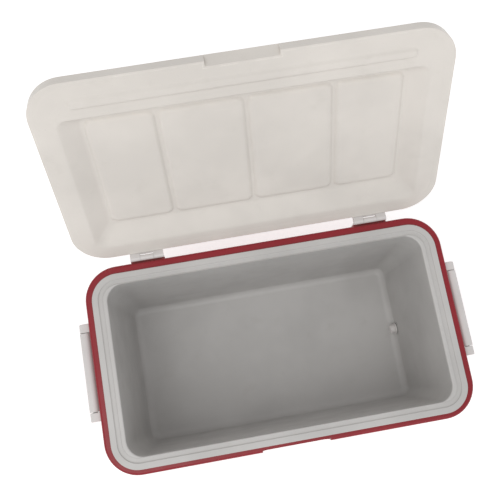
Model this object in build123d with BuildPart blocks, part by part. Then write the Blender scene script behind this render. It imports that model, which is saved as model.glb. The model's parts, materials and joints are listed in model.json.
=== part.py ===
"""Family-size ice chest: tapered outer shell, insulated liner, hinged lid, two swing handles
and a pair of transport wheels under one end.

Millimetres and degrees. +X is to the right, +Y to the hinge side and +Z up. The origin is the
centre of the shell's flat underside. The lid is drawn standing open against its hinge stops.
"""
from build123d import *
from math import radians, tan
import os

# Outer shell
body_length = 655.0
body_width = 367.0
rim_height = 331.0            # top of the liner's lip above the shell's underside
corner_radius = 60.0
wall_draft = 2.0
shell_wall = 3.0
shoulder_radius = 5.0
base_edge_radius = 8.0
ground_clearance = 14.0       # floor to the shell's underside

# Ledge of the shell that stays visible round the liner's lip
end_ledge = 12.5
front_ledge = 9.5
back_ledge = 14.5

# Liner
liner_wall = 3.0
lip_thickness = 4.0
lip_corner_inset = 13.0       # lip's corner radius less than the shell's
end_band = 27.0               # lip's outer edge to the mouth, at both ends
long_band = 20.5              # the same along the front and the back
mouth_corner_inset = 17.0     # mouth's corner radius less than the lip's
floor_over_axle = 15.0        # tub's floor above the wheels' axis
liner_draft = 2.2
floor_radius = 15.0
lip_flat = 10.5
seal_groove_width = 9.5
seal_groove_depth = 2.6
seal_groove_radius = 2.4
lip_edge_radius = 1.5
mouth_edge_radius = 2.5
liner_fit = 0.5               # shell ledge to liner wall

# Lid
lid_open_angle = 122.0
lid_gap = 0.4                 # closed lid above the lip
lid_skirt_height = 24.0
lid_draft = 2.0
lid_wall = 3.0
lid_top_edge_radius = 7.0
lid_foot_edge_radius = 1.2
lid_crown_height = 7.0
lid_crown_inset = 34.0
lid_crown_draft = 30.0
lid_crown_edge_radius = 4.0
pan_end_flange = 23.0         # flange over the lip's end, from the lip's outer edge to the pan
pan_back_flange = 10.0
pan_front_flange = 55.0
pan_rise = 15.0               # pan floor above the lip when the lid is closed
pan_mouth_radius = 15.0
pan_floor_radius = 12.0
pan_end_slope = 37.5
pan_back_slope = 47.0
pan_front_slope = 11.0
rib_clearance = 3.0           # locating rib inside the liner's mouth, along the front
rib_width = 13.0
rib_depth = 3.5
rib_end_inset = 24.0
rib_edge_radius = 2.5
panel_count = 4
panel_share = 0.24            # divider to divider, in parts of the recess's length
panel_height = 4.0
panel_gap = 4.0
panel_radius = 15.0
panel_edge_radius = 3.8

# Finger grips at the front
grip_width = 120.0
grip_depth = 5.0
grip_height = 34.0
grip_radius = 12.0
lid_grip_width = 112.0
lid_grip_depth = 9.0
lid_grip_height = 20.0

# Hinges
hinge_spacing = 414.0
hinge_width = 60.0
hinge_offset = 7.0            # pin axis behind the shell's back
hinge_drop = 5.0              # pin axis below the lip's top
hinge_radius = 5.0
hinge_pin_radius = 2.0
hinge_bore_clearance = 0.06
hinge_centre_width = 24.0
hinge_gap = 0.4
hinge_leaf_thickness = 3.0
hinge_leaf_drop = 42.0        # leaf's lower end below the pin axis
hinge_leaf_rise = 22.0        # lid leaf's free end above the pin axis
hinge_pad_proud = 3.5
hinge_pad_side = 1.0          # pad past the leaf at each side
hinge_pad_foot = 3.0          # pad past the leaf's lower end
hinge_pad_drop = 1.0          # pad's top below the knuckle
hinge_pad_radius = 3.0
hinge_pad_bevel = 5.0
hinge_leaf_start = 2.0        # shell leaf's upper edge below the knuckle
hinge_leaf_corner = 4.0
hinge_lid_corner = 3.0
hinge_pin_chamfer = 0.4
hinge_screw_inset = 12.0
hinge_screw_rise = 10.0       # above the shell leaf's lower end
hinge_lid_screw_rise = 17.5   # above the pin axis when the lid is closed
hinge_neck_spread = 0.92      # where the neck leaves the knuckle, in parts of its radius
hinge_neck_lift = 0.38
hinge_neck_inset = 0.4
hinge_neck_rise = 7.6         # lid leaf's neck above the leaf's lower edge
hinge_stop_inset = 4.0
hinge_stop_width = 10.0
hinge_stop_gap = 0.5
hinge_stop_slope = 0.4
hinge_stop_height = 4.0       # face at the stop's tip
hinge_stop_brace = 18.0       # stop's foot below its tip
hinge_stop_tip = 0.5          # stop's tip short of the neck's

# Handles
handle_axis_drop = 25.0
handle_reach = 10.5           # pivot axis outside the handle pad
handle_centre_y = 4.0
handle_bar_length = 141.0
handle_radius = 10.0
handle_drop = 62.0            # pivot axis down to the grip's centre
handle_arm_width = 17.0
handle_thickness = 14.0
handle_edge_radius = 4.0
handle_grip_radius = 9.0
handle_corner_radius = 16.0
handle_end_gap = 1.0
trunnion_radius = 4.0
trunnion_length = 10.0
trunnion_clearance = 0.06
bracket_length = 16.0
bracket_radius = 9.5
bracket_flange = 3.5
bracket_drop = 36.0
bracket_edge_radius = 1.6
bracket_screw_drops = (16.0, 29.0)
pad_margin = 9.0
pad_root = 10.0               # how far a pad runs back into the wall
pad_bevel = 20.0

# Drain
drain_height = 18.0           # drain axis above the liner's floor
drain_bore_radius = 5.0
drain_tube_radius = 8.0
drain_flange_radius = 11.0
drain_flange_thickness = 3.0
drain_gasket_thickness = 1.5
drain_boss_radius = 14.0
drain_pocket_radius = 27.0
drain_pocket_depth = 11.0
drain_nut_radius = 14.0
drain_nut_thickness = 5.0
drain_nut_chamfer = 0.8
drain_plug_shank = 16.0
drain_thread_free = 3.0       # spout's end past the nut
drain_plug_clearance = 0.06
drain_plug_head_radius = 9.5
drain_plug_head_thickness = 10.0
drain_plug_head_edge = 4.5
drain_plug_edge = 1.0
drain_plug_gap = 0.4          # head off the spout's flange

# Wheels and feet
wheel_radius = 45.0
wheel_width = 22.0
wheel_inset = 7.5             # tread's outer face inside the shell's side
wheel_overhang = 5.0          # tread past the end wall's foot
wheel_clearance = 5.0
wheel_side_clearance = 2.0
wheel_web = 5.0
wheel_rim_thickness = 9.0
tread_radius = 3.0
wheel_hub_radius = 13.0
wheel_rib_count = 8
wheel_rib_width = 4.0
wheel_rib_inset = 3.0         # rib's edge inside the wheel's face
axle_radius = 4.0
axle_clearance = 0.06
sleeve_wall = 2.0
axle_cap_radius = 9.0
axle_cap_thickness = 4.0
axle_cap_grip = 3.0
axle_cap_edge_radius = 1.5
axle_cap_gap = 0.4            # cap off the wheel's face
axle_chamfer = 0.5
foot_length = 60.0
foot_width = 26.0
foot_inset = 34.0             # foot's centre inside the end wall's foot
foot_spacing = 230.0
foot_edge_radius = 3.0
foot_screw_seat = 4.0         # foot's thickness under the screw's head
foot_screw_clearance = 0.7

# Screws
screw_radius = 1.75
screw_head_radius = 3.8
screw_head_height = 2.4
screw_length = 12.0
screw_slot_width = 0.9
screw_slot_length = 4.4
screw_slot_depth = 1.4

# Lengths used only to carry a shape through a face
overlap = 1.0
grip_overlap = 2.0
drain_cut_lead = 20.0
drain_cut_length = 90.0

# Heights and places that follow from the sizes above
shell_top = rim_height - lip_thickness
ledge_bottom = shell_top - shell_wall
axle_z = wheel_radius - ground_clearance
liner_floor = axle_z + floor_over_axle
lip_corner_radius = corner_radius - lip_corner_inset
mouth_radius = lip_corner_radius - mouth_corner_inset
liner_y = (front_ledge - back_ledge) / 2
lip_length = body_length - 2 * end_ledge
lip_width = body_width - front_ledge - back_ledge
mouth_length = lip_length - 2 * end_band
mouth_width = lip_width - 2 * long_band
lid_bottom = rim_height + lid_gap
lid_skirt_top = lid_bottom + lid_skirt_height
pan_floor = rim_height + pan_rise
back_face = body_width / 2
hinge_y = back_face + hinge_offset
hinge_z = rim_height - hinge_drop
handle_pad_x = body_length / 2
handle_x = handle_pad_x + handle_reach
handle_z = rim_height - handle_axis_drop
handle_half = handle_bar_length / 2
drain_z = liner_floor + drain_height
wheel_outer_y = body_width / 2 - wheel_inset
wheel_inner_y = wheel_outer_y - wheel_width
well_radius = wheel_radius + wheel_clearance
well_face_y = wheel_inner_y - wheel_side_clearance


def wall_inset(height):
    """How far the shell's wall stands inside the top outline at a height."""
    return (shell_top - height) * tan(radians(wall_draft))


def liner_inset(height):
    """How far the liner's wall stands inside its mouth at a height."""
    return (rim_height - height) * tan(radians(liner_draft))


wheel_x = -(body_length / 2 - wall_inset(axle_z) - wheel_radius + wheel_overhang)
foot_x = body_length / 2 - wall_inset(0) - foot_inset
drain_wall_x = mouth_length / 2 - liner_inset(drain_z)
drain_face_x = drain_wall_x - drain_boss_radius * tan(radians(liner_draft))
drain_pocket_x = body_length / 2 - wall_inset(drain_z) - drain_pocket_depth

# Frame of the open lid: a point drawn at its closed place on this plane lands where the open lid has it
hinge_swing = Location((0, hinge_y, hinge_z)) * Location((0, 0, 0), (-lid_open_angle, 0, 0))
lid_frame = Plane(hinge_swing * Location((0, -hinge_y, -hinge_z)))
lid_up = Axis(lid_frame.origin, lid_frame.z_dir)
lid_across = Axis(lid_frame.origin, lid_frame.y_dir)


def block(plane, length, width, radius, height, taper=0.0, y=0.0, mode=Mode.ADD):
    """Rounded rectangle on a plane, extruded along the plane's normal."""
    with BuildSketch(plane) as outline:
        with Locations((0, y)):
            RectangleRounded(length, width, radius)
    extrude(outline.sketch, amount=height, taper=taper, mode=mode)


def shell_form(inset, top, bottom, mode=Mode.ADD):
    """The shell's tapered outline, inset all round, between two heights."""
    shrink = inset + wall_inset(top)
    length = body_length - 2 * shrink
    width = body_width - 2 * shrink
    block(Plane.XY.offset(top), length, width, corner_radius - shrink, bottom - top, wall_draft, mode=mode)


def liner_form(grow, top, bottom, mode=Mode.ADD):
    """The liner's tapered tub, grown all round, between two heights."""
    shrink = liner_inset(top) - grow
    length = mouth_length - 2 * shrink
    width = mouth_width - 2 * shrink
    plane = Plane.XY.offset(top)
    block(plane, length, width, mouth_radius - shrink, bottom - top, liner_draft, y=liner_y, mode=mode)


def lip_ring(outer_inset, inner_inset):
    """Flat ring that follows the lip's outline between two insets."""
    with Locations((0, liner_y)):
        for inset, mode in ((outer_inset, Mode.ADD), (inner_inset, Mode.SUBTRACT)):
            length = lip_length - 2 * inset
            width = lip_width - 2 * inset
            RectangleRounded(length, width, lip_corner_radius - inset, mode=mode)


def front_grip_form(grow, mode=Mode.SUBTRACT):
    """Finger recess under the front edge of the shell."""
    plane = Plane(origin=(0, -back_face - overlap, shell_top), x_dir=(1, 0, 0), z_dir=(0, 1, 0))
    width = grip_width + 2 * grow
    height = 2 * (grip_height + grow)
    block(plane, width, height, grip_radius + grow, grip_depth + grow + overlap, mode=mode)


def wheel_well_form(side, grow, mode=Mode.SUBTRACT):
    """Arch over one wheel, open below and outwards."""
    start = side * (well_face_y - grow)
    plane = Plane(origin=(wheel_x, start, axle_z), x_dir=(1, 0, 0), z_dir=(0, side, 0))
    radius = well_radius + grow
    with BuildSketch(plane) as arch:
        Circle(radius)
        with Locations((0, side * radius)):
            Rectangle(2 * radius, 2 * radius)
    extrude(arch.sketch, amount=body_width, mode=mode)


def cylinder_along(plane, radius, length, mode=Mode.ADD):
    """Round bar that starts on a plane and runs along its normal."""
    with BuildSketch(plane) as circle:
        Circle(radius)
    extrude(circle.sketch, amount=length, mode=mode)


def screw(plane):
    """Pan-head screw whose head rests on the plane and whose shank runs behind it."""
    cylinder_along(plane, screw_head_radius, screw_head_height)
    fillet(edges(Select.LAST).group_by(Axis(plane.origin, plane.z_dir))[-1], screw_head_height / 2)
    with BuildSketch(plane.offset(screw_head_height)) as cross:
        Rectangle(screw_slot_length, screw_slot_width)
        Rectangle(screw_slot_width, screw_slot_length)
    extrude(cross.sketch, amount=-screw_slot_depth, mode=Mode.SUBTRACT)
    cylinder_along(plane, screw_radius, -screw_length)


def screw_holes(planes):
    """Shank holes behind each of the screws' planes."""
    for plane in planes:
        start = plane.offset(overlap)
        cylinder_along(start, screw_radius, -screw_length - overlap, mode=Mode.SUBTRACT)


# Places of the fasteners
hinge_centres = {"left": -hinge_spacing / 2, "right": hinge_spacing / 2}
hinge_leaf_face = back_face + hinge_pad_proud + hinge_leaf_thickness
hinge_screw_reach = hinge_width / 2 - hinge_screw_inset
shell_screw_z = hinge_z - hinge_leaf_drop + hinge_screw_rise
shell_hinge_screws = [
    Plane(origin=(x + dx, hinge_leaf_face, shell_screw_z), z_dir=(0, 1, 0))
    for x in hinge_centres.values()
    for dx in (-hinge_screw_reach, hinge_screw_reach)
]
lid_leaf_face = back_face + hinge_offset - hinge_pad_proud
lid_screw_z = hinge_z + hinge_lid_screw_rise
lid_hinge_screws = [
    Plane(
        origin=lid_frame.from_local_coords(Vector(x + dx, lid_leaf_face, lid_screw_z)),
        z_dir=lid_frame.y_dir,
    )
    for x in hinge_centres.values()
    for dx in (-hinge_screw_reach, hinge_screw_reach)
]
bracket_places = [(side, end) for side in (-1, 1) for end in (-1, 1)]
bracket_mid = handle_half + bracket_length / 2
bracket_screws = [
    Plane(
        origin=(
            side * (handle_pad_x + bracket_flange),
            handle_centre_y + end * bracket_mid,
            handle_z - drop,
        ),
        z_dir=(side, 0, 0),
    )
    for side, end in bracket_places
    for drop in bracket_screw_drops
]
foot_counterbore = ground_clearance - foot_screw_seat
foot_places = {"front": -foot_spacing / 2, "rear": foot_spacing / 2}
foot_screws_at = [
    Plane(origin=(foot_x, y, -foot_screw_seat), z_dir=(0, 0, -1))
    for y in foot_places.values()
]
shell_screws = shell_hinge_screws + bracket_screws + foot_screws_at

# Axle and drain run right through the insulated body
sleeve_radius = axle_radius + sleeve_wall
axle_reach = wheel_outer_y + axle_cap_grip
axle_start = Plane(origin=(wheel_x, -axle_reach, axle_z), z_dir=(0, 1, 0))
sleeve_start = Plane(origin=(wheel_x, -well_face_y, axle_z), z_dir=(0, 1, 0))
pocket_plane = Plane(origin=(drain_pocket_x, 0, drain_z), z_dir=(1, 0, 0))
drain_axis_start = Plane(origin=(drain_face_x - drain_cut_lead, 0, drain_z), z_dir=(1, 0, 0))


def drain_pocket(grow):
    """Round pocket for the drain in the outside of the end wall."""
    plane = pocket_plane.offset(-grow)
    cylinder_along(plane, drain_pocket_radius + grow, drain_cut_length, mode=Mode.SUBTRACT)


def axle_and_drain_holes():
    """The way through for the axle's sleeve and for the drain's spout."""
    cylinder_along(sleeve_start, sleeve_radius, 2 * well_face_y, mode=Mode.SUBTRACT)
    cylinder_along(drain_axis_start, drain_tube_radius, drain_cut_length, mode=Mode.SUBTRACT)


os.makedirs("parts", exist_ok=True)


def keep(builder, name):
    """Label a finished piece and write it."""
    builder.part.label = name
    export_step(builder.part, f"parts/{name}.step")


# Space inside the shell: what is left when every wall has its thickness
with BuildPart() as shell_space:
    shell_form(shell_wall, ledge_bottom, shell_wall)
    front_grip_form(shell_wall)
    for side in (-1, 1):
        wheel_well_form(side, shell_wall)
    drain_pocket(shell_wall)

# Outer shell: one moulding with a turned-in ledge, pads for the handles and hinges,
# wheel arches, a finger grip and a pocket for the drain
with BuildPart() as outer_shell:
    shell_form(0, shell_top, 0)
    fillet(edges().group_by(Axis.Z)[-1], shoulder_radius)
    fillet(edges().group_by(Axis.Z)[0], base_edge_radius)
    for side in (-1, 1):
        pad_width = handle_bar_length + 2 * bracket_length + 2 * pad_margin
        pad_top = shell_top - shoulder_radius
        pad_bottom = handle_z - bracket_drop - pad_margin
        pad_plane = Plane(
            origin=(side * handle_pad_x, handle_centre_y, (pad_top + pad_bottom) / 2),
            x_dir=(0, 1, 0),
            z_dir=(-side, 0, 0),
        )
        block(pad_plane, pad_width, pad_top - pad_bottom, pad_margin, pad_root, taper=-pad_bevel)
    for x in hinge_centres.values():
        pad_width = hinge_width + 2 * hinge_pad_side
        pad_top = hinge_z - hinge_radius - hinge_pad_drop
        pad_bottom = hinge_z - hinge_leaf_drop - hinge_pad_foot
        pad_depth = pad_root + hinge_pad_proud
        pad_plane = Plane(
            origin=(x, back_face + hinge_pad_proud, (pad_top + pad_bottom) / 2),
            x_dir=(1, 0, 0),
            z_dir=(0, -1, 0),
        )
        pad_height = pad_top - pad_bottom
        block(pad_plane, pad_width, pad_height, hinge_pad_radius, pad_depth, taper=-hinge_pad_bevel)
    front_grip_form(0)
    for side in (-1, 1):
        wheel_well_form(side, 0)
    drain_pocket(0)
    add(shell_space.part, mode=Mode.SUBTRACT)
    opening_top = shell_top + overlap
    liner_form(liner_wall + liner_fit, opening_top, ledge_bottom - overlap, mode=Mode.SUBTRACT)
    axle_and_drain_holes()
    screw_holes(shell_screws)
keep(outer_shell, "outer_shell")

# The tub's inside, with its floor edge rounded
with BuildPart() as tub_space:
    liner_form(0, rim_height, liner_floor)
    fillet(edges().group_by(Axis.Z)[0], floor_radius)

# Liner: a deep tub with a flat lip, a seal groove and a rounded ridge round its mouth
boss_plane = Plane(origin=(drain_face_x, 0, drain_z), z_dir=(1, 0, 0))
with BuildPart() as inner_liner:
    liner_form(liner_wall, shell_top, liner_floor - liner_wall)
    fillet(edges().group_by(Axis.Z)[0], floor_radius + liner_wall)
    block(Plane.XY.offset(shell_top), lip_length, lip_width, lip_corner_radius, lip_thickness, y=liner_y)
    fillet(edges().group_by(Axis.Z)[-1], lip_edge_radius)
    add(tub_space.part, mode=Mode.SUBTRACT)
    fillet(edges(Select.LAST).group_by(Axis.Z)[-1], mouth_edge_radius)
    with BuildSketch(Plane.XY.offset(rim_height - seal_groove_depth)) as groove:
        lip_ring(lip_flat, lip_flat + seal_groove_width)
    extrude(groove.sketch, amount=seal_groove_depth, mode=Mode.SUBTRACT)
    fillet(edges(Select.LAST).group_by(Axis.Z)[0], seal_groove_radius)
    cylinder_along(boss_plane, drain_boss_radius, liner_wall)
    cylinder_along(boss_plane, drain_boss_radius, -floor_radius, mode=Mode.SUBTRACT)
    cylinder_along(drain_axis_start, drain_tube_radius, drain_cut_length, mode=Mode.SUBTRACT)
keep(inner_liner, "inner_liner")

# Foam that fills the shell round the liner
with BuildPart() as foam_core:
    add(shell_space.part)
    liner_form(liner_wall, shell_top, liner_floor - liner_wall, mode=Mode.SUBTRACT)
    axle_and_drain_holes()
    screw_holes(shell_screws)
keep(foam_core, "foam_core")

# Drain: flanged spout with its gasket, a nut in the shell's pocket and a plug pulled out from inside
gasket_face_x = drain_face_x - drain_gasket_thickness
spout_start_x = gasket_face_x - drain_flange_thickness
spout_end_x = drain_pocket_x + drain_nut_thickness + drain_thread_free
spout_plane = Plane(origin=(spout_start_x, 0, drain_z), z_dir=(1, 0, 0))
with BuildPart() as drain_spout:
    cylinder_along(spout_plane, drain_flange_radius, drain_flange_thickness)
    fillet(edges().group_by(Axis.X)[0], drain_flange_thickness / 2)
    cylinder_along(spout_plane, drain_tube_radius, spout_end_x - spout_start_x)
    cylinder_along(spout_plane, drain_bore_radius, spout_end_x - spout_start_x, mode=Mode.SUBTRACT)
keep(drain_spout, "drain_spout")

gasket_plane = Plane(origin=(gasket_face_x, 0, drain_z), z_dir=(1, 0, 0))
with BuildPart() as drain_gasket:
    cylinder_along(gasket_plane, drain_flange_radius, drain_gasket_thickness)
    cylinder_along(gasket_plane, drain_tube_radius, drain_gasket_thickness, mode=Mode.SUBTRACT)
keep(drain_gasket, "drain_gasket")

with BuildPart() as drain_nut:
    with BuildSketch(pocket_plane) as hexagon:
        RegularPolygon(drain_nut_radius, 6)
        Circle(drain_tube_radius, mode=Mode.SUBTRACT)
    extrude(hexagon.sketch, amount=drain_nut_thickness)
    chamfer(edges().group_by(Axis.X)[-1].filter_by(GeomType.LINE), drain_nut_chamfer)
keep(drain_nut, "drain_nut")

plug_head_plane = Plane(origin=(spout_start_x - drain_plug_gap, 0, drain_z), z_dir=(1, 0, 0))
with BuildPart() as drain_plug:
    cylinder_along(plug_head_plane, drain_bore_radius - drain_plug_clearance, drain_plug_shank)
    chamfer(edges().group_by(Axis.X)[-1], drain_plug_edge)
    cylinder_along(plug_head_plane, drain_plug_head_radius, -drain_plug_head_thickness)
    fillet(edges().group_by(Axis.X)[0], drain_plug_head_edge)
keep(drain_plug, "drain_plug")

# Hinges: a leaf on the shell, a leaf on the lid and a pin for each side
leaf_front = hinge_pad_proud - hinge_offset
leaf_back = leaf_front + hinge_leaf_thickness
lid_leaf_low = lid_bottom - hinge_z
neck_root = Vector(0, hinge_radius * hinge_neck_spread, hinge_radius * hinge_neck_lift)
neck_tip = Vector(0, leaf_front, lid_leaf_low + hinge_neck_rise)
stop_root = neck_root.rotate(Axis.X, -lid_open_angle)
stop_tip = neck_tip.rotate(Axis.X, -lid_open_angle)
stop_foot_y = leaf_back - overlap
stop_tip_y = stop_tip.Y - hinge_stop_tip
stop_tip_z = stop_tip.Z - hinge_stop_gap
stop_root_z = stop_root.Z - hinge_stop_gap
plate_top = -hinge_radius - hinge_leaf_start


def hinge_profile(x, turned):
    """Plane across a hinge at x, with the pin axis at its origin; turned with the lid or upright."""
    across = lid_frame.y_dir if turned else Vector(0, 1, 0)
    return Plane(origin=(x, hinge_y, hinge_z), x_dir=across, z_dir=(1, 0, 0))


for side, x in hinge_centres.items():
    start = x - hinge_width / 2
    end = x + hinge_width / 2
    knuckle_start = x - hinge_centre_width / 2
    outer_knuckle = (hinge_width - hinge_centre_width) / 2 - hinge_gap

    with BuildPart() as shell_leaf:
        with BuildSketch(hinge_profile(start, False)) as plate:
            with BuildLine():
                Polyline(
                    (leaf_front, -hinge_leaf_drop),
                    (leaf_back, -hinge_leaf_drop),
                    (leaf_back, plate_top),
                    (leaf_front, plate_top),
                    close=True,
                )
            make_face()
        extrude(plate.sketch, amount=hinge_width)
        fillet(edges().filter_by(Axis.Y).group_by(Axis.Z)[0], hinge_leaf_corner)
        with BuildSketch(hinge_profile(knuckle_start, False)) as knuckle:
            Circle(hinge_radius)
            with Locations(((leaf_front + leaf_back) / 2, -hinge_radius)):
                Rectangle(hinge_leaf_thickness, 2 * hinge_radius)
        extrude(knuckle.sketch, amount=hinge_centre_width)
        for stop_start in (start + hinge_stop_inset, end - hinge_stop_inset - hinge_stop_width):
            with BuildSketch(hinge_profile(stop_start, False)) as stop:
                with BuildLine():
                    Polyline(
                        (stop_foot_y, stop_root_z - hinge_stop_slope),
                        (stop_root.Y, stop_root_z),
                        (stop_tip_y, stop_tip_z),
                        (stop_tip_y, stop_tip_z - hinge_stop_height),
                        (stop_foot_y, stop_tip_z - hinge_stop_brace),
                        close=True,
                    )
                make_face()
            extrude(stop.sketch, amount=hinge_stop_width)
        cylinder_along(hinge_profile(start, False), hinge_pin_radius, hinge_width, mode=Mode.SUBTRACT)
        screw_holes(shell_hinge_screws)
    keep(shell_leaf, f"hinge_shell_leaf_{side}")

    with BuildPart() as lid_leaf:
        with BuildSketch(hinge_profile(start, True)) as plate:
            with BuildLine():
                Polyline(
                    (-hinge_offset, lid_leaf_low),
                    (leaf_front, lid_leaf_low),
                    (leaf_front, hinge_leaf_rise),
                    (-hinge_offset, hinge_leaf_rise),
                    close=True,
                )
            make_face()
        extrude(plate.sketch, amount=hinge_width)
        fillet(edges().filter_by(lid_across).group_by(lid_up)[-1], hinge_lid_corner)
        for knuckle_x in (start, end - outer_knuckle):
            with BuildSketch(hinge_profile(knuckle_x, True)) as knuckle:
                Circle(hinge_radius)
                with BuildLine():
                    Polyline(
                        (-hinge_offset + hinge_neck_inset, lid_leaf_low),
                        (neck_tip.Y, neck_tip.Z),
                        (neck_root.Y, neck_root.Z),
                        (-neck_root.Y, -neck_root.Z),
                        close=True,
                    )
                make_face()
                Circle(hinge_pin_radius + hinge_bore_clearance, mode=Mode.SUBTRACT)
            extrude(knuckle.sketch, amount=outer_knuckle)
        screw_holes(lid_hinge_screws)
    keep(lid_leaf, f"hinge_lid_leaf_{side}")

    with BuildPart() as pin:
        cylinder_along(hinge_profile(start, False), hinge_pin_radius, hinge_width)
        chamfer(edges().filter_by(GeomType.CIRCLE), hinge_pin_chamfer)
    keep(pin, f"hinge_pin_{side}")

# Handles: a hinge bar with two arms and a round grip, hanging between two brackets
side_names = {-1: "left", 1: "right"}
end_names = {-1: "front", 1: "rear"}
bar_half = handle_half - handle_end_gap
for side in (-1, 1):
    hang = Plane(
        origin=(side * (handle_x - handle_thickness / 2), handle_centre_y, handle_z),
        x_dir=(0, side, 0),
        z_dir=(side, 0, 0),
    )
    bar_start = Plane(origin=(side * handle_x, handle_centre_y - bar_half, handle_z), z_dir=(0, 1, 0))
    pin_start = Plane(
        origin=(side * handle_x, handle_centre_y - bar_half - trunnion_length, handle_z),
        z_dir=(0, 1, 0),
    )
    grip_start = bar_start.offset(handle_arm_width / 2)
    grip_start.origin = grip_start.origin - Vector(0, 0, handle_drop)
    with BuildPart() as handle:
        with BuildSketch(hang) as loop:
            with Locations((0, -(handle_drop + handle_grip_radius) / 2)):
                Rectangle(2 * bar_half, handle_drop + handle_grip_radius)
            fillet(vertices().group_by(Axis.Y)[0], handle_corner_radius)
            with Locations((0, -handle_drop / 2)):
                Rectangle(2 * (bar_half - handle_arm_width), handle_drop, mode=Mode.SUBTRACT)
        extrude(loop.sketch, amount=handle_thickness)
        arm_edges = edges().filter_by(Axis.Z) + edges().filter_by(GeomType.CIRCLE)
        fillet(arm_edges, handle_edge_radius)
        cylinder_along(bar_start, handle_radius, 2 * bar_half)
        cylinder_along(grip_start, handle_grip_radius, 2 * bar_half - handle_arm_width)
        cylinder_along(pin_start, trunnion_radius, 2 * (bar_half + trunnion_length))
    keep(handle, f"handle_{side_names[side]}")

    for end in (-1, 1):
        middle_y = handle_centre_y + end * bracket_mid
        profile = Plane(
            origin=(side * handle_pad_x, middle_y, handle_z),
            x_dir=(side, 0, 0),
            z_dir=(0, -side, 0),
        )
        bore_plane = Plane(
            origin=(side * handle_x, handle_centre_y + end * handle_half, handle_z),
            z_dir=(0, end, 0),
        )
        with BuildPart() as bracket:
            with BuildSketch(profile) as outline:
                with Locations((handle_reach / 2, 0)):
                    Rectangle(handle_reach, 2 * bracket_radius)
                with Locations((handle_reach, 0)):
                    Circle(bracket_radius)
                with Locations((bracket_flange / 2, (bracket_radius - bracket_drop) / 2)):
                    Rectangle(bracket_flange, bracket_radius + bracket_drop)
            extrude(outline.sketch, amount=bracket_length / 2, both=True)
            fillet(edges().group_by(Axis.Y)[0] + edges().group_by(Axis.Y)[-1], bracket_edge_radius)
            bore_depth = trunnion_length + 2 * handle_end_gap
            bore_radius = trunnion_radius + trunnion_clearance
            cylinder_along(bore_plane, bore_radius, bore_depth, mode=Mode.SUBTRACT)
            screw_holes(bracket_screws)
        keep(bracket, f"handle_bracket_{side_names[side]}_{end_names[end]}")

# Wheels on one steel axle that runs in a sleeve through the foam
with BuildPart() as axle:
    cylinder_along(axle_start, axle_radius, 2 * axle_reach)
    chamfer(edges().filter_by(GeomType.CIRCLE), axle_chamfer)
keep(axle, "axle")

with BuildPart() as axle_sleeve:
    cylinder_along(sleeve_start, sleeve_radius, 2 * well_face_y)
    cylinder_along(sleeve_start, axle_radius, 2 * well_face_y, mode=Mode.SUBTRACT)
keep(axle_sleeve, "axle_sleeve")

for side, name in ((-1, "front"), (1, "rear")):
    middle_y = side * (wheel_inner_y + wheel_width / 2)
    spin = Axis((wheel_x, middle_y, axle_z), (0, 1, 0))
    web_radius = wheel_radius - wheel_rim_thickness
    with BuildPart() as wheel:
        with BuildSketch(Plane(origin=(wheel_x, middle_y, axle_z))) as section:
            with Locations((wheel_radius - wheel_rim_thickness / 2, 0)):
                Rectangle(wheel_rim_thickness, wheel_width)
            with Locations((web_radius / 2, 0)):
                Rectangle(web_radius, wheel_web)
            with Locations((wheel_hub_radius / 2, 0)):
                Rectangle(wheel_hub_radius, wheel_width)
        revolve(section.sketch, axis=spin)
        fillet(edges().filter_by(GeomType.CIRCLE).group_by(SortBy.RADIUS)[-1], tread_radius)
        face_plane = Plane(origin=(wheel_x, middle_y, axle_z), z_dir=(0, 1, 0))
        with BuildSketch(face_plane) as ribs:
            with PolarLocations((wheel_hub_radius + web_radius) / 2, wheel_rib_count):
                Rectangle(web_radius - wheel_hub_radius + 2 * overlap, wheel_rib_width)
        extrude(ribs.sketch, amount=wheel_width / 2 - wheel_rib_inset, both=True)
        bore_start = face_plane.offset(-wheel_width)
        cylinder_along(bore_start, axle_radius + axle_clearance, 2 * wheel_width, mode=Mode.SUBTRACT)
    keep(wheel, f"wheel_{name}")

    cap_start = side * (wheel_outer_y + axle_cap_gap)
    cap_plane = Plane(origin=(wheel_x, cap_start, axle_z), z_dir=(0, side, 0))
    with BuildPart() as cap:
        cylinder_along(cap_plane, axle_cap_radius, axle_cap_thickness)
        fillet(edges().group_by(Axis.Y)[-1 if side > 0 else 0], axle_cap_edge_radius)
        cylinder_along(cap_plane, axle_radius, axle_cap_grip - axle_cap_gap, mode=Mode.SUBTRACT)
    keep(cap, f"axle_cap_{name}")

# Feet under the end away from the wheels
for name, y in foot_places.items():
    with BuildPart() as foot:
        sole = Plane(origin=(foot_x, y, -ground_clearance))
        block(sole, foot_length, foot_width, foot_width / 3, ground_clearance)
        fillet(edges().group_by(Axis.Z)[0], foot_edge_radius)
        counterbore_radius = screw_head_radius + foot_screw_clearance
        cylinder_along(sole, counterbore_radius, foot_counterbore, mode=Mode.SUBTRACT)
        screw_holes(foot_screws_at)
    keep(foot, f"foot_{name}")

# Lid
pan_length = lip_length - 2 * pan_end_flange
pan_back = liner_y + lip_width / 2 - pan_back_flange
pan_front = liner_y - lip_width / 2 + pan_front_flange
pan_floor_back = pan_back - pan_back_slope
pan_floor_front = pan_front + pan_front_slope
pan_floor_half = pan_length / 2 - pan_end_slope
pan_floor_y = (pan_floor_back + pan_floor_front) / 2
rib_y = liner_y - mouth_width / 2 + rib_clearance + rib_width / 2
rib_length = mouth_length - 2 * rib_end_inset
panel_underside = lid_bottom + lid_wall


def lid_block(inset, bottom, top, mode=Mode.ADD):
    """The lid's tapered skirt outline, inset all round, between two closed heights."""
    shrink = inset + (bottom - lid_bottom) * tan(radians(lid_draft))
    length = body_length - 2 * shrink
    width = body_width - 2 * shrink
    block(lid_frame.offset(bottom), length, width, corner_radius - shrink, top - bottom, lid_draft, mode=mode)


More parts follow.
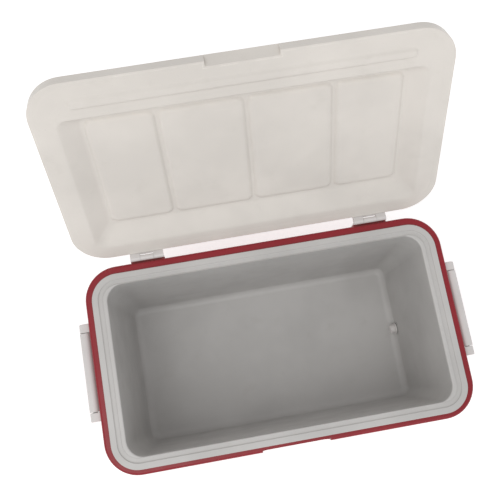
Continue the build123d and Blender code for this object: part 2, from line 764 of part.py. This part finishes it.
def lid_crown(inset, bottom, mode=Mode.ADD):
    """The raised centre of the lid's top."""
    length = body_length - 2 * (lid_crown_inset + inset)
    width = body_width - 2 * (lid_crown_inset + inset)
    radius = corner_radius - lid_crown_inset / 2 - inset
    block(lid_frame.offset(bottom), length, width, radius, lid_crown_height, lid_crown_draft, mode=mode)


def lid_grip_form(grow):
    """Sloped finger recess under the lid's front edge."""
    corner = Vector(-lid_grip_width / 2 - grow, -back_face, lid_bottom)
    plane = Plane(
        origin=lid_frame.from_local_coords(corner),
        x_dir=lid_frame.y_dir,
        z_dir=lid_frame.x_dir,
    )
    with BuildSketch(plane) as wedge:
        with BuildLine():
            Polyline(
                (-grip_overlap, -grip_overlap),
                (lid_grip_depth + grow, -grip_overlap),
                (lid_grip_depth + grow, 0),
                (grow, lid_grip_height + grow),
                (-grip_overlap, lid_grip_height + grow),
                close=True,
            )
        make_face()
    extrude(wedge.sketch, amount=lid_grip_width + 2 * grow, mode=Mode.SUBTRACT)


def pan_form(grow, mode):
    """The recess in the lid's underside, grown all round, from its mouth to its floor."""
    mouth_y = (pan_back + pan_front) / 2
    with BuildSketch(lid_frame.offset(lid_bottom)) as mouth:
        with Locations((0, mouth_y)):
            RectangleRounded(
                pan_length + 2 * grow, pan_back - pan_front + 2 * grow, pan_mouth_radius + grow
            )
    with BuildSketch(lid_frame.offset(pan_floor + grow)) as floor:
        with Locations((0, pan_floor_y)):
            RectangleRounded(
                2 * (pan_floor_half + grow),
                pan_floor_back - pan_floor_front + 2 * grow,
                pan_floor_radius + grow,
            )
    loft(sections=[mouth.sketch.faces()[0], floor.sketch.faces()[0]], ruled=True, mode=mode)


with BuildPart() as lid_space:
    lid_block(lid_wall, lid_bottom, lid_skirt_top - lid_wall)
    lid_crown(lid_wall, lid_skirt_top - lid_wall)
    lid_grip_form(lid_wall)

with BuildPart() as lid_outer_shell:
    lid_block(0, lid_bottom, lid_skirt_top)
    fillet(edges().group_by(lid_up)[-1], lid_top_edge_radius)
    fillet(edges().group_by(lid_up)[0], lid_foot_edge_radius)
    lid_crown(0, lid_skirt_top)
    fillet(edges().group_by(lid_up)[-1], lid_crown_edge_radius)
    lid_grip_form(0)
    add(lid_space.part, mode=Mode.SUBTRACT)
    screw_holes(lid_hinge_screws)
keep(lid_outer_shell, "lid_outer_shell")

# Underside of the lid: a plate that closes the skirt, a locating rib along the front and a panelled recess
with BuildPart() as lid_inner_panel:
    rib_plane = lid_frame.offset(lid_bottom - rib_depth)
    block(rib_plane, rib_length, rib_width, rib_width / 2 - overlap, rib_depth + lid_wall, y=rib_y)
    fillet(edges().group_by(lid_up)[0], rib_edge_radius)
    lid_block(lid_wall, lid_bottom, panel_underside)
    lid_grip_form(lid_wall)
    pan_form(lid_wall, Mode.ADD)
    pan_form(0, Mode.SUBTRACT)
    panel_pitch = panel_share * pan_length
    with BuildSketch(lid_frame.offset(pan_floor - panel_height)) as panels:
        for index in range(panel_count):
            left = (index - panel_count / 2) * panel_pitch
            panel_start = max(left, -pan_floor_half) + panel_gap / 2
            panel_end = min(left + panel_pitch, pan_floor_half) - panel_gap / 2
            with Locations(((panel_start + panel_end) / 2, pan_floor_y)):
                RectangleRounded(
                    panel_end - panel_start,
                    pan_floor_back - pan_floor_front - panel_gap,
                    panel_radius,
                )
    extrude(panels.sketch, amount=panel_height)
    fillet(edges(Select.LAST).group_by(lid_up)[0], panel_edge_radius)
keep(lid_inner_panel, "lid_inner_panel")

with BuildPart() as lid_foam:
    lid_block(lid_wall, panel_underside, lid_skirt_top - lid_wall)
    lid_crown(lid_wall, lid_skirt_top - lid_wall)
    lid_grip_form(lid_wall)
    pan_form(lid_wall, Mode.SUBTRACT)
    screw_holes(lid_hinge_screws)
keep(lid_foam, "lid_foam")

# Screws, one group for each place
screw_groups = {
    "hinge_shell_screws": shell_hinge_screws,
    "hinge_lid_screws": lid_hinge_screws,
    "handle_bracket_screws": bracket_screws,
    "foot_screws": foot_screws_at,
}
for name, planes in screw_groups.items():
    with BuildPart() as screws:
        for plane in planes:
            screw(plane)
    keep(screws, name)
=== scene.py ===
"""Looks of the wheeled ice chest: moulded plastic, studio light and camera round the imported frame."""

import json
import math

import bmesh
import bpy
import numpy as np
from mathutils import Euler, Matrix, Vector


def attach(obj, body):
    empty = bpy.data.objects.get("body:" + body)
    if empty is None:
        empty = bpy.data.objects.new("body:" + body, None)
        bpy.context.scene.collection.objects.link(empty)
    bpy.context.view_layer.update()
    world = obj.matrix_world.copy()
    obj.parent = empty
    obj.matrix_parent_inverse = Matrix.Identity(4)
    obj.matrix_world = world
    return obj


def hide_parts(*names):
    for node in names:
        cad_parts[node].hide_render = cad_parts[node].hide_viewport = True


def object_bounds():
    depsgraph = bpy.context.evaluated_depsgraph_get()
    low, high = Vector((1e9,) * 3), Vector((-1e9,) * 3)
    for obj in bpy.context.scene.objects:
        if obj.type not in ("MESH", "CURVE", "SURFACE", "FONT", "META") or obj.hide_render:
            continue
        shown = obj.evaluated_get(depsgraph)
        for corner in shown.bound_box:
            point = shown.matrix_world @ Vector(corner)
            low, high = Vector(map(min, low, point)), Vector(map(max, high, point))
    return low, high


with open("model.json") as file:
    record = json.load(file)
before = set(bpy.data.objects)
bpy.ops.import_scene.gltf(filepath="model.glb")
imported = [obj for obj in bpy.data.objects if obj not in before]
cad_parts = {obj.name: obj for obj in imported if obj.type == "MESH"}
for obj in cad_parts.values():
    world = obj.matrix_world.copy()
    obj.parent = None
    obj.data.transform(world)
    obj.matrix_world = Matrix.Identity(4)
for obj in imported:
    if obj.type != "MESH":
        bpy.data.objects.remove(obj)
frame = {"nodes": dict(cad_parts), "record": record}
cad_low, cad_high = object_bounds()
nodes = frame["nodes"]
scene = bpy.context.scene

MM = 0.001
FLOOR_Z = cad_low.z
FLOOR_RADIUS = 90.0
FLOOR_GLOW = 0.45
WORLD_STRENGTH = 0.60
CAMERA_PLACE = (-0.0918, -0.0759, 1.5663)
CAMERA_TURN = (0.2035, -0.0212, -0.1738)
CAMERA_LENS = 50.04


# Shader helpers

class Shader:
    """A material's node tree with short calls for the nodes used here."""

    def __init__(self, name):
        self.material = bpy.data.materials.new(name)
        self.material.use_nodes = True
        self.tree = self.material.node_tree
        self.bsdf = self.tree.nodes["Principled BSDF"]
        self.coords = self.tree.nodes.new("ShaderNodeTexCoord").outputs["Object"]

    def link(self, source, target):
        self.tree.links.new(source, target)

    def put(self, socket, value):
        if isinstance(value, bpy.types.NodeSocket):
            self.link(value, socket)
        else:
            socket.default_value = value

    def mapping(self, scale=(1, 1, 1), turn=(0, 0, 0)):
        node = self.tree.nodes.new("ShaderNodeMapping")
        node.inputs["Scale"].default_value = scale
        node.inputs["Rotation"].default_value = turn
        self.link(self.coords, node.inputs["Vector"])
        return node.outputs["Vector"]

    def noise(self, scale, detail=2.0, rough=0.5, vector=None, distortion=0.0):
        node = self.tree.nodes.new("ShaderNodeTexNoise")
        node.inputs["Scale"].default_value = scale
        node.inputs["Detail"].default_value = detail
        node.inputs["Roughness"].default_value = rough
        node.inputs["Distortion"].default_value = distortion
        self.link(vector or self.coords, node.inputs["Vector"])
        return node.outputs["Fac"]

    def cells(self, scale, smooth=0.4):
        node = self.tree.nodes.new("ShaderNodeTexVoronoi")
        node.feature = "SMOOTH_F1"
        node.inputs["Scale"].default_value = scale
        node.inputs["Smoothness"].default_value = smooth
        self.link(self.coords, node.inputs["Vector"])
        return node.outputs["Distance"]

    def span(self, value, low, high, to_low=0.0, to_high=1.0):
        node = self.tree.nodes.new("ShaderNodeMapRange")
        node.interpolation_type = "SMOOTHSTEP"
        self.put(node.inputs["Value"], value)
        for key, number in (("From Min", low), ("From Max", high), ("To Min", to_low), ("To Max", to_high)):
            node.inputs[key].default_value = number
        return node.outputs["Result"]

    def math(self, kind, a, b=0.0):
        node = self.tree.nodes.new("ShaderNodeMath")
        node.operation = kind
        self.put(node.inputs[0], a)
        self.put(node.inputs[1], b)
        return node.outputs[0]

    def mix(self, factor, a, b):
        node = self.tree.nodes.new("ShaderNodeMix")
        node.data_type = "RGBA"
        self.put(node.inputs["Factor"], factor)
        for socket, value in ((node.inputs[6], a), (node.inputs[7], b)):
            self.put(socket, value if isinstance(value, bpy.types.NodeSocket) else (*value, 1.0))
        return node.outputs[2]

    def bump(self, height, strength, distance, normal=None):
        node = self.tree.nodes.new("ShaderNodeBump")
        node.inputs["Strength"].default_value = strength
        node.inputs["Distance"].default_value = distance
        self.link(height, node.inputs["Height"])
        if normal is not None:
            self.link(normal, node.inputs["Normal"])
        return node.outputs["Normal"]

    def edges(self, radius):
        """Near 1 on sharp edges and 0 on flats."""
        bevel = self.tree.nodes.new("ShaderNodeBevel")
        bevel.samples = 4
        bevel.inputs["Radius"].default_value = radius
        geometry = self.tree.nodes.new("ShaderNodeNewGeometry")
        dot = self.tree.nodes.new("ShaderNodeVectorMath")
        dot.operation = "DOT_PRODUCT"
        self.link(bevel.outputs[0], dot.inputs[0])
        self.link(geometry.outputs["Normal"], dot.inputs[1])
        return self.span(dot.outputs["Value"], 0.995, 0.90)

    def creases(self, distance):
        """Near 1 where faces close in on each other: an ambient-occlusion mask for painting shade into
        creases.
        """
        node = self.tree.nodes.new("ShaderNodeAmbientOcclusion")
        node.samples = 4
        node.inputs["Distance"].default_value = distance
        return self.span(node.outputs["AO"], 0.85, 0.25)

    def scratches(self, turn, density):
        """Fine hairlines that run one way."""
        lines = self.noise(1.0, 3.0, 0.6, self.mapping((9, 1500, 1500), turn), 0.35)
        patches = self.noise(11.0, 2.0, 0.5, self.mapping((1, 1, 1), turn))
        shown = self.span(patches, 0.62 - density, 0.72 - density)
        return self.math("MULTIPLY", self.span(lines, 0.66, 0.72), shown)


def tint(colour, factor):
    return tuple(min(1.0, c * factor) for c in colour)


def plastic(name, colour, rough, grain=(900, 0.10), wear=0.35, muck_and_shade_amount=0.25, muck_and_shade_colour=(0.30, 0.27, 0.22),
            scuffs=0.06, mottle=0.05, wave=0.25, pale=None, sheen_gap=0.08):
    """Moulded plastic: fine grain, slow waviness, scuffs, paler worn edges, specks and smudges of muck, and
    painted shade in the creases.
    """
    s = Shader(name)
    slow = s.noise(7.0, 3.0, 0.55)
    cloud = s.span(slow, 0.3, 0.7)
    base = s.mix(cloud, tint(colour, 1 - mottle), tint(colour, 1 + mottle))
    worn_colour = pale or tint(colour, 1.35)
    patch = s.span(s.noise(38.0, 3.0, 0.6), 0.42, 0.62)
    edge = s.math("MULTIPLY", s.math("MULTIPLY", s.edges(1.6 * MM), patch), wear)
    base = s.mix(edge, base, worn_colour)
    lines = s.math("MAXIMUM", s.scratches((0.2, 0.1, 0.5), scuffs), s.scratches((-0.3, 0.4, 2.1), scuffs))
    base = s.mix(s.math("MULTIPLY", lines, 0.22), base, worn_colour)
    smudge = s.span(s.noise(24.0, 4.0, 0.62), 0.56, 0.74)
    # Painted shade: the ambient-occlusion crease mask darkens creases and hollows toward the muck colour,
    # mixed with real smudges and specks.
    muck_and_shade_mask = s.math("MAXIMUM", s.math("MULTIPLY", s.creases(9 * MM), s.span(slow, 0.2, 0.6, 0.5, 1.0)),
                    s.math("MULTIPLY", smudge, 0.25))
    specks = s.span(s.noise(420.0, 1.0, 0.5), 0.735, 0.77)
    muck_and_shade_mask = s.math("MAXIMUM", s.math("MULTIPLY", muck_and_shade_mask, muck_and_shade_amount), s.math("MULTIPLY", specks, 0.5 * muck_and_shade_amount))
    base = s.mix(muck_and_shade_mask, base, muck_and_shade_colour)
    s.link(base, s.bsdf.inputs["Base Color"])
    shine = s.span(s.noise(17.0, 4.0, 0.6), 0.3, 0.7, rough - sheen_gap, rough + sheen_gap)
    shine = s.math("ADD", shine, s.math("MULTIPLY", s.math("MAXIMUM", lines, muck_and_shade_mask), 0.2))
    s.link(shine, s.bsdf.inputs["Roughness"])
    normal = s.bump(s.noise(13.0, 2.0, 0.5), wave, 1.2 * MM)
    normal = s.bump(s.cells(grain[0]), grain[1], 0.25 * MM, normal)
    normal = s.bump(lines, 0.12, 0.08 * MM, normal)
    s.link(normal, s.bsdf.inputs["Normal"])
    s.bsdf.inputs["Specular IOR Level"].default_value = 0.42
    return s.material


def steel(name):
    """Zinc-plated steel with fine turning marks and dull patches."""
    s = Shader(name)
    patch = s.span(s.noise(260.0, 3.0, 0.6), 0.35, 0.7)
    s.link(s.mix(patch, (0.62, 0.62, 0.60), (0.44, 0.44, 0.43)), s.bsdf.inputs["Base Color"])
    s.bsdf.inputs["Metallic"].default_value = 1.0
    s.link(s.span(s.noise(520.0, 3.0, 0.6), 0.3, 0.7, 0.26, 0.48), s.bsdf.inputs["Roughness"])
    turned = s.noise(1.0, 2.0, 0.5, s.mapping((2500, 500, 2500)))
    s.link(s.bump(turned, 0.15, 0.05 * MM), s.bsdf.inputs["Normal"])
    return s.material


def foam(name):
    """Rigid yellow foam with open cells."""
    s = Shader(name)
    tone = s.span(s.noise(30.0, 4.0, 0.6), 0.3, 0.7)
    s.link(s.mix(tone, (0.72, 0.60, 0.33), (0.82, 0.73, 0.48)), s.bsdf.inputs["Base Color"])
    s.link(s.span(s.noise(200.0, 2.0, 0.5), 0.3, 0.7, 0.75, 0.92), s.bsdf.inputs["Roughness"])
    s.link(s.bump(s.cells(1200.0), 0.5, 0.4 * MM), s.bsdf.inputs["Normal"])
    return s.material


RED = (0.275, 0.0110, 0.0200)
LINER = (0.55, 0.538, 0.527)
LID = (0.73, 0.69, 0.645)
HANDLE = (0.70, 0.67, 0.66)

# Each look's muck strength also sets how strongly shade is painted into its creases.
looks = {
    "shell_red": plastic("red_shell", RED, 0.36, grain=(620, 0.30), pale=(0.42, 0.06, 0.07), muck_and_shade_amount=0.30),
    "liner_white": plastic("white_liner", LINER, 0.42, grain=(1100, 0.08), muck_and_shade_amount=0.30, scuffs=0.10),
    "lid_white": plastic("white_lid", LID, 0.44, grain=(800, 0.16), muck_and_shade_amount=0.22),
    "handle_white": plastic("white_handle", HANDLE, 0.38, grain=(900, 0.10), muck_and_shade_amount=0.35),
    "hinge_white": plastic("white_hinge", HANDLE, 0.40, grain=(900, 0.10), muck_and_shade_amount=0.40),
    "fitting_white": plastic("white_fitting", HANDLE, 0.35, grain=(1200, 0.06), muck_and_shade_amount=0.35),
    "wheel_black": plastic("black_wheel", (0.018, 0.018, 0.019), 0.48, grain=(700, 0.35), muck_and_shade_amount=0.45,
                           muck_and_shade_colour=(0.16, 0.13, 0.10), pale=(0.07, 0.07, 0.07), wear=0.7),
    "foot_black": plastic("black_foot", (0.020, 0.020, 0.020), 0.62, grain=(700, 0.4), muck_and_shade_amount=0.4,
                          muck_and_shade_colour=(0.15, 0.13, 0.10), pale=(0.06, 0.06, 0.06)),
    "rubber_grey": plastic("grey_rubber", (0.10, 0.10, 0.10), 0.7, grain=(1400, 0.3), muck_and_shade_amount=0.2),
    "steel": steel("zinc_steel"),
    "foam": foam("yellow_foam"),
}
slot_of = {part["node"]: part["material_slot"] for part in frame["record"]["subparts"]}
for node, thing in nodes.items():
    for place in thing.material_slots:
        place.material = looks[slot_of[node]]


# The lid's underside as one soft moulding: flange, locating rib, sloped pan and four pillowed panels.
# Sizes are in millimetres on the closed lid; Z is the height above the chest's underside.
# Outlines are half length, half width and corner radius.

FLANGE_Z = 331.4
PAN_Z = 346.0
SKIN = 3.0
THICKEST_SKIN = 1.8           # on a steep slope, in parts of the skin
BACK_LIMIT = 350.5            # the skin's hidden face stays under the lid's top
OUTLINE = (324.5, 180.5, 57.0)
LIP = (315.0, 171.5, 47.0)
LIP_Y = -2.5
WITNESS = 1.2                 # faint line that the lip's edge leaves
WITNESS_DEPTH = 0.35
RIB = (264.0, 6.5, 5.5)
RIB_Y = -144.0
RIB_DEPTH = 3.4
RIB_SOFT = 3.0
PAN_HALF, PAN_FRONT, PAN_BACK, PAN_MOUTH_RADIUS = 292.0, -119.0, 159.0, 15.0
END_SLOPE, FRONT_SLOPE, BACK_SLOPE, PAN_FLOOR_RADIUS = 37.5, 11.0, 47.0, 12.0
SLOPE_EASE = 0.14             # rounded part of the slope at its top and at its foot
HALVINGS = 16
PANELS = 4
PANEL_PITCH = 140.16
PANEL_GAP = 4.0
PANEL_RADIUS = 13.0
PANEL_RISE = 4.2
PANEL_EDGE = 8.0
PANEL_FULLNESS = 2.2
NOTCH_HALF, NOTCH_Y = 59.0, -171.5
FINE, WIDE = 1.5, 5.0         # mesh steps on edges and on flats
LEAST_STEP = 0.3
RIM_BAND = 1.6 * FINE         # how far outside the outline a corner may lie before it is drawn in
TINY = 0.01


def rounded(x, y, half_x, half_y, radius, centre_y):
    """Distance to a rounded rectangle, negative inside."""
    along = np.abs(x) - half_x + radius
    across = np.abs(y - centre_y) - half_y + radius
    outside = np.hypot(np.maximum(along, 0), np.maximum(across, 0))
    return outside + np.minimum(np.maximum(along, across), 0) - radius


def ease(value):
    """Smooth step from 0 to 1."""
    value = np.clip(value, 0, 1)
    return value * value * value * (value * (value * 6 - 15) + 10)


def pan_outline(x, y, part):
    """Distance to the pan's outline at a part of the way from its mouth to its floor."""
    front = PAN_FRONT + FRONT_SLOPE * part
    back = PAN_BACK - BACK_SLOPE * part
    radius = PAN_MOUTH_RADIUS + (PAN_FLOOR_RADIUS - PAN_MOUTH_RADIUS) * part
    half_x = PAN_HALF - END_SLOPE * part
    return rounded(x, y, half_x, (back - front) / 2, radius, (back + front) / 2)


def pan_descent(x, y):
    """How far down the pan's slope each point lies: 0 outside its mouth and 1 on its floor."""
    low, high = np.zeros(x.shape), np.ones(x.shape)
    for _ in range(HALVINGS):
        middle = (low + high) / 2
        inside = pan_outline(x, y, middle) <= 0
        low = np.where(inside, middle, low)
        high = np.where(inside, high, middle)
    top = low * low / (2 * SLOPE_EASE)
    foot = 1 - SLOPE_EASE - (1 - low) ** 2 / (2 * SLOPE_EASE)
    straight = np.where(low > 1 - SLOPE_EASE, foot, low - SLOPE_EASE / 2)
    return np.where(low < SLOPE_EASE, top, straight) / (1 - SLOPE_EASE)


def underside(x, y):
    """Height of the lid's underside at each point."""
    z = np.full(x.shape, FLANGE_Z)
    witness = np.abs(rounded(x, y, *LIP, LIP_Y)) / WITNESS
    z += WITNESS_DEPTH * (1 - ease(witness))
    rib = rounded(x, y, *RIB, RIB_Y)
    z -= RIB_DEPTH * ease((RIB_SOFT - rib) / (2 * RIB_SOFT))
    z += (PAN_Z - FLANGE_Z) * pan_descent(x, y)
    floor_half = PAN_HALF - END_SLOPE
    front, back = PAN_FRONT + FRONT_SLOPE, PAN_BACK - BACK_SLOPE
    half_y = (back - front - PANEL_GAP) / 2
    middle_y = (front + back) / 2
    for index in range(PANELS):
        left = max((index - PANELS / 2) * PANEL_PITCH, -floor_half) + PANEL_GAP / 2
        right = min((index + 1 - PANELS / 2) * PANEL_PITCH, floor_half) - PANEL_GAP / 2
        middle_x = (left + right) / 2
        panel = rounded(x - middle_x, y, (right - left) / 2, half_y, PANEL_RADIUS, middle_y)
        rise = np.clip(-panel / PANEL_EDGE, 0, 1)
        z -= PANEL_RISE * (1 - (1 - rise) ** PANEL_FULLNESS)
    return z


def spaced(marks, steps):
    """Numbers from mark to mark, about a step apart."""
    spans = zip(marks, marks[1:], steps)
    runs = [np.linspace(a, b, round((b - a) / step) + 1)[:-1] for a, b, step in spans]
    return np.concatenate(runs + [[marks[-1]]])


def underside_grid():
    """Corners of the mesh, drawn in to the lid's rounded outline, with front and hidden heights."""
    half_x, half_y, radius = OUTLINE
    marks_x = [-half_x, -225, -154, -126, -NOTCH_HALF, -14, 14, NOTCH_HALF, 126, 154, 225, half_x]
    steps_x = [FINE, WIDE, FINE, WIDE, WIDE, FINE, WIDE, WIDE, FINE, WIDE, FINE]
    marks_y = [-half_y, NOTCH_Y, -85, 85, half_y]
    xs = spaced(marks_x, steps_x)
    ys = spaced(marks_y, [FINE, FINE, WIDE, FINE])
    x, y = np.meshgrid(xs, ys, indexing="ij")
    off = rounded(x, y, half_x, half_y, radius, 0.0)
    turn_x = np.sign(x) * np.maximum(np.abs(x) - half_x + radius, 0)
    turn_y = np.sign(y) * np.maximum(np.abs(y) - half_y + radius, 0)
    reach = np.maximum(np.hypot(turn_x, turn_y), 1e-6)
    over = np.maximum(off, 0)
    x, y = x - turn_x / reach * over, y - turn_y / reach * over
    in_notch = (np.abs(xs[:, None]) < NOTCH_HALF - TINY) & (ys[None, :] < NOTCH_Y - TINY)
    kept = (off < RIM_BAND) & ~in_notch
    z = underside(x, y)
    lean_x = np.gradient(z, axis=0) / np.maximum(np.gradient(x, axis=0), LEAST_STEP)
    lean_y = np.gradient(z, axis=1) / np.maximum(np.gradient(y, axis=1), LEAST_STEP)
    skin = SKIN * np.minimum(np.sqrt(1 + lean_x ** 2 + lean_y ** 2), THICKEST_SKIN)
    return x, y, z, np.minimum(z + skin, BACK_LIMIT), kept


def lid_underside():
    """Closed skin over the height field, turned with the open lid."""
    x, y, z, back, kept = underside_grid()
    made = bmesh.new()
    faces = []
    layers = [{}, {}]
    for i in range(x.shape[0] - 1):
        for j in range(x.shape[1] - 1):
            cell = [(i, j), (i + 1, j), (i + 1, j + 1), (i, j + 1)]
            if not all(kept[spot] for spot in cell):
                continue
            for level, heights in enumerate((z, back)):
                layer = layers[level]
                for spot in cell:
                    if spot not in layer:
                        layer[spot] = made.verts.new((x[spot] * MM, y[spot] * MM, heights[spot] * MM))
                corners = [layer[spot] for spot in cell]
                faces.append(made.faces.new(corners if level else corners[::-1]))
    rim = [edge for edge in made.edges if edge.is_boundary]
    partner = {layers[0][spot]: layers[1][spot] for spot in layers[0]}
    for edge in rim:
        edge.smooth = False
        a, b = edge.verts
        if a in partner:
            made.faces.new((a, b, partner[b], partner[a]))
    bmesh.ops.recalc_face_normals(made, faces=made.faces)
    for face in faces:
        face.smooth = True
    joints = frame["record"]["behaviour"]["joints"]
    hinge = next(joint for joint in joints if joint["name"] == "lid_hinge")
    swing = Matrix.Rotation(-math.radians(hinge["range_deg"][1]), 4, "X")
    place = Matrix.Translation(hinge["pos_m"])
    made.transform(place @ swing @ place.inverted())
    mesh = bpy.data.meshes.new("lid_underside")
    made.to_mesh(mesh)
    made.free()
    thing = bpy.data.objects.new("lid_underside", mesh)
    scene.collection.objects.link(thing)
    mesh.materials.append(looks["lid_white"])
    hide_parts("lid_inner_panel")
    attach(thing, "lid")


lid_underside()


# Floor, light and camera

def pale_floor():
    """A wide plain floor, bright enough to wash out under the object."""
    mesh = bpy.data.meshes.new("floor")
    ground = bpy.data.objects.new("floor", mesh)
    scene.collection.objects.link(ground)
    made = bmesh.new()
    bmesh.ops.create_circle(made, cap_ends=True, segments=96, radius=FLOOR_RADIUS)
    made.to_mesh(mesh)
    made.free()
    ground.location.z = FLOOR_Z
    s = Shader("floor_paint")
    tone = s.span(s.noise(1.5, 3.0, 0.5), 0.3, 0.7)
    s.link(s.mix(tone, (0.93, 0.93, 0.93), (0.96, 0.96, 0.96)), s.bsdf.inputs["Base Color"])
    s.bsdf.inputs["Roughness"].default_value = 0.9
    s.bsdf.inputs["Specular IOR Level"].default_value = 0.1
    s.bsdf.inputs["Emission Color"].default_value = (1.0, 1.0, 1.0, 1.0)
    s.bsdf.inputs["Emission Strength"].default_value = FLOOR_GLOW
    mesh.materials.append(s.material)


def soft_light(name, place, aim, size, power, colour=(1, 1, 1)):
    data = bpy.data.lights.new(name, "AREA")
    data.shape = "RECTANGLE"
    data.size, data.size_y = size
    data.energy = power
    data.color = colour
    lamp = bpy.data.objects.new(name, data)
    scene.collection.objects.link(lamp)
    lamp.location = place
    lamp.rotation_euler = (Vector(aim) - Vector(place)).to_track_quat("-Z", "Y").to_euler()


pale_floor()
world = bpy.data.worlds.new("studio")
scene.world = world
world.use_nodes = True
world.node_tree.nodes["Background"].inputs["Color"].default_value = (1.0, 1.0, 1.0, 1)
world.node_tree.nodes["Background"].inputs["Strength"].default_value = WORLD_STRENGTH
soft_light("key", (-1.0, -0.8, 2.9), (-0.2, 0.1, 0.3), (1.8, 1.8), 24, (1.0, 0.99, 0.97))
soft_light("fill", (0.6, -1.7, 2.6), (-0.2, 0.1, 0.2), (1.6, 1.6), 8, (0.97, 0.985, 1.0))

lens = bpy.data.cameras.new("camera")
lens.sensor_width = 36.0
lens.lens = CAMERA_LENS
camera = bpy.data.objects.new("camera", lens)
scene.collection.objects.link(camera)
camera.location = CAMERA_PLACE
camera.rotation_euler = Euler(CAMERA_TURN, "XYZ")
scene.camera = camera
scene.view_settings.view_transform = "Standard"
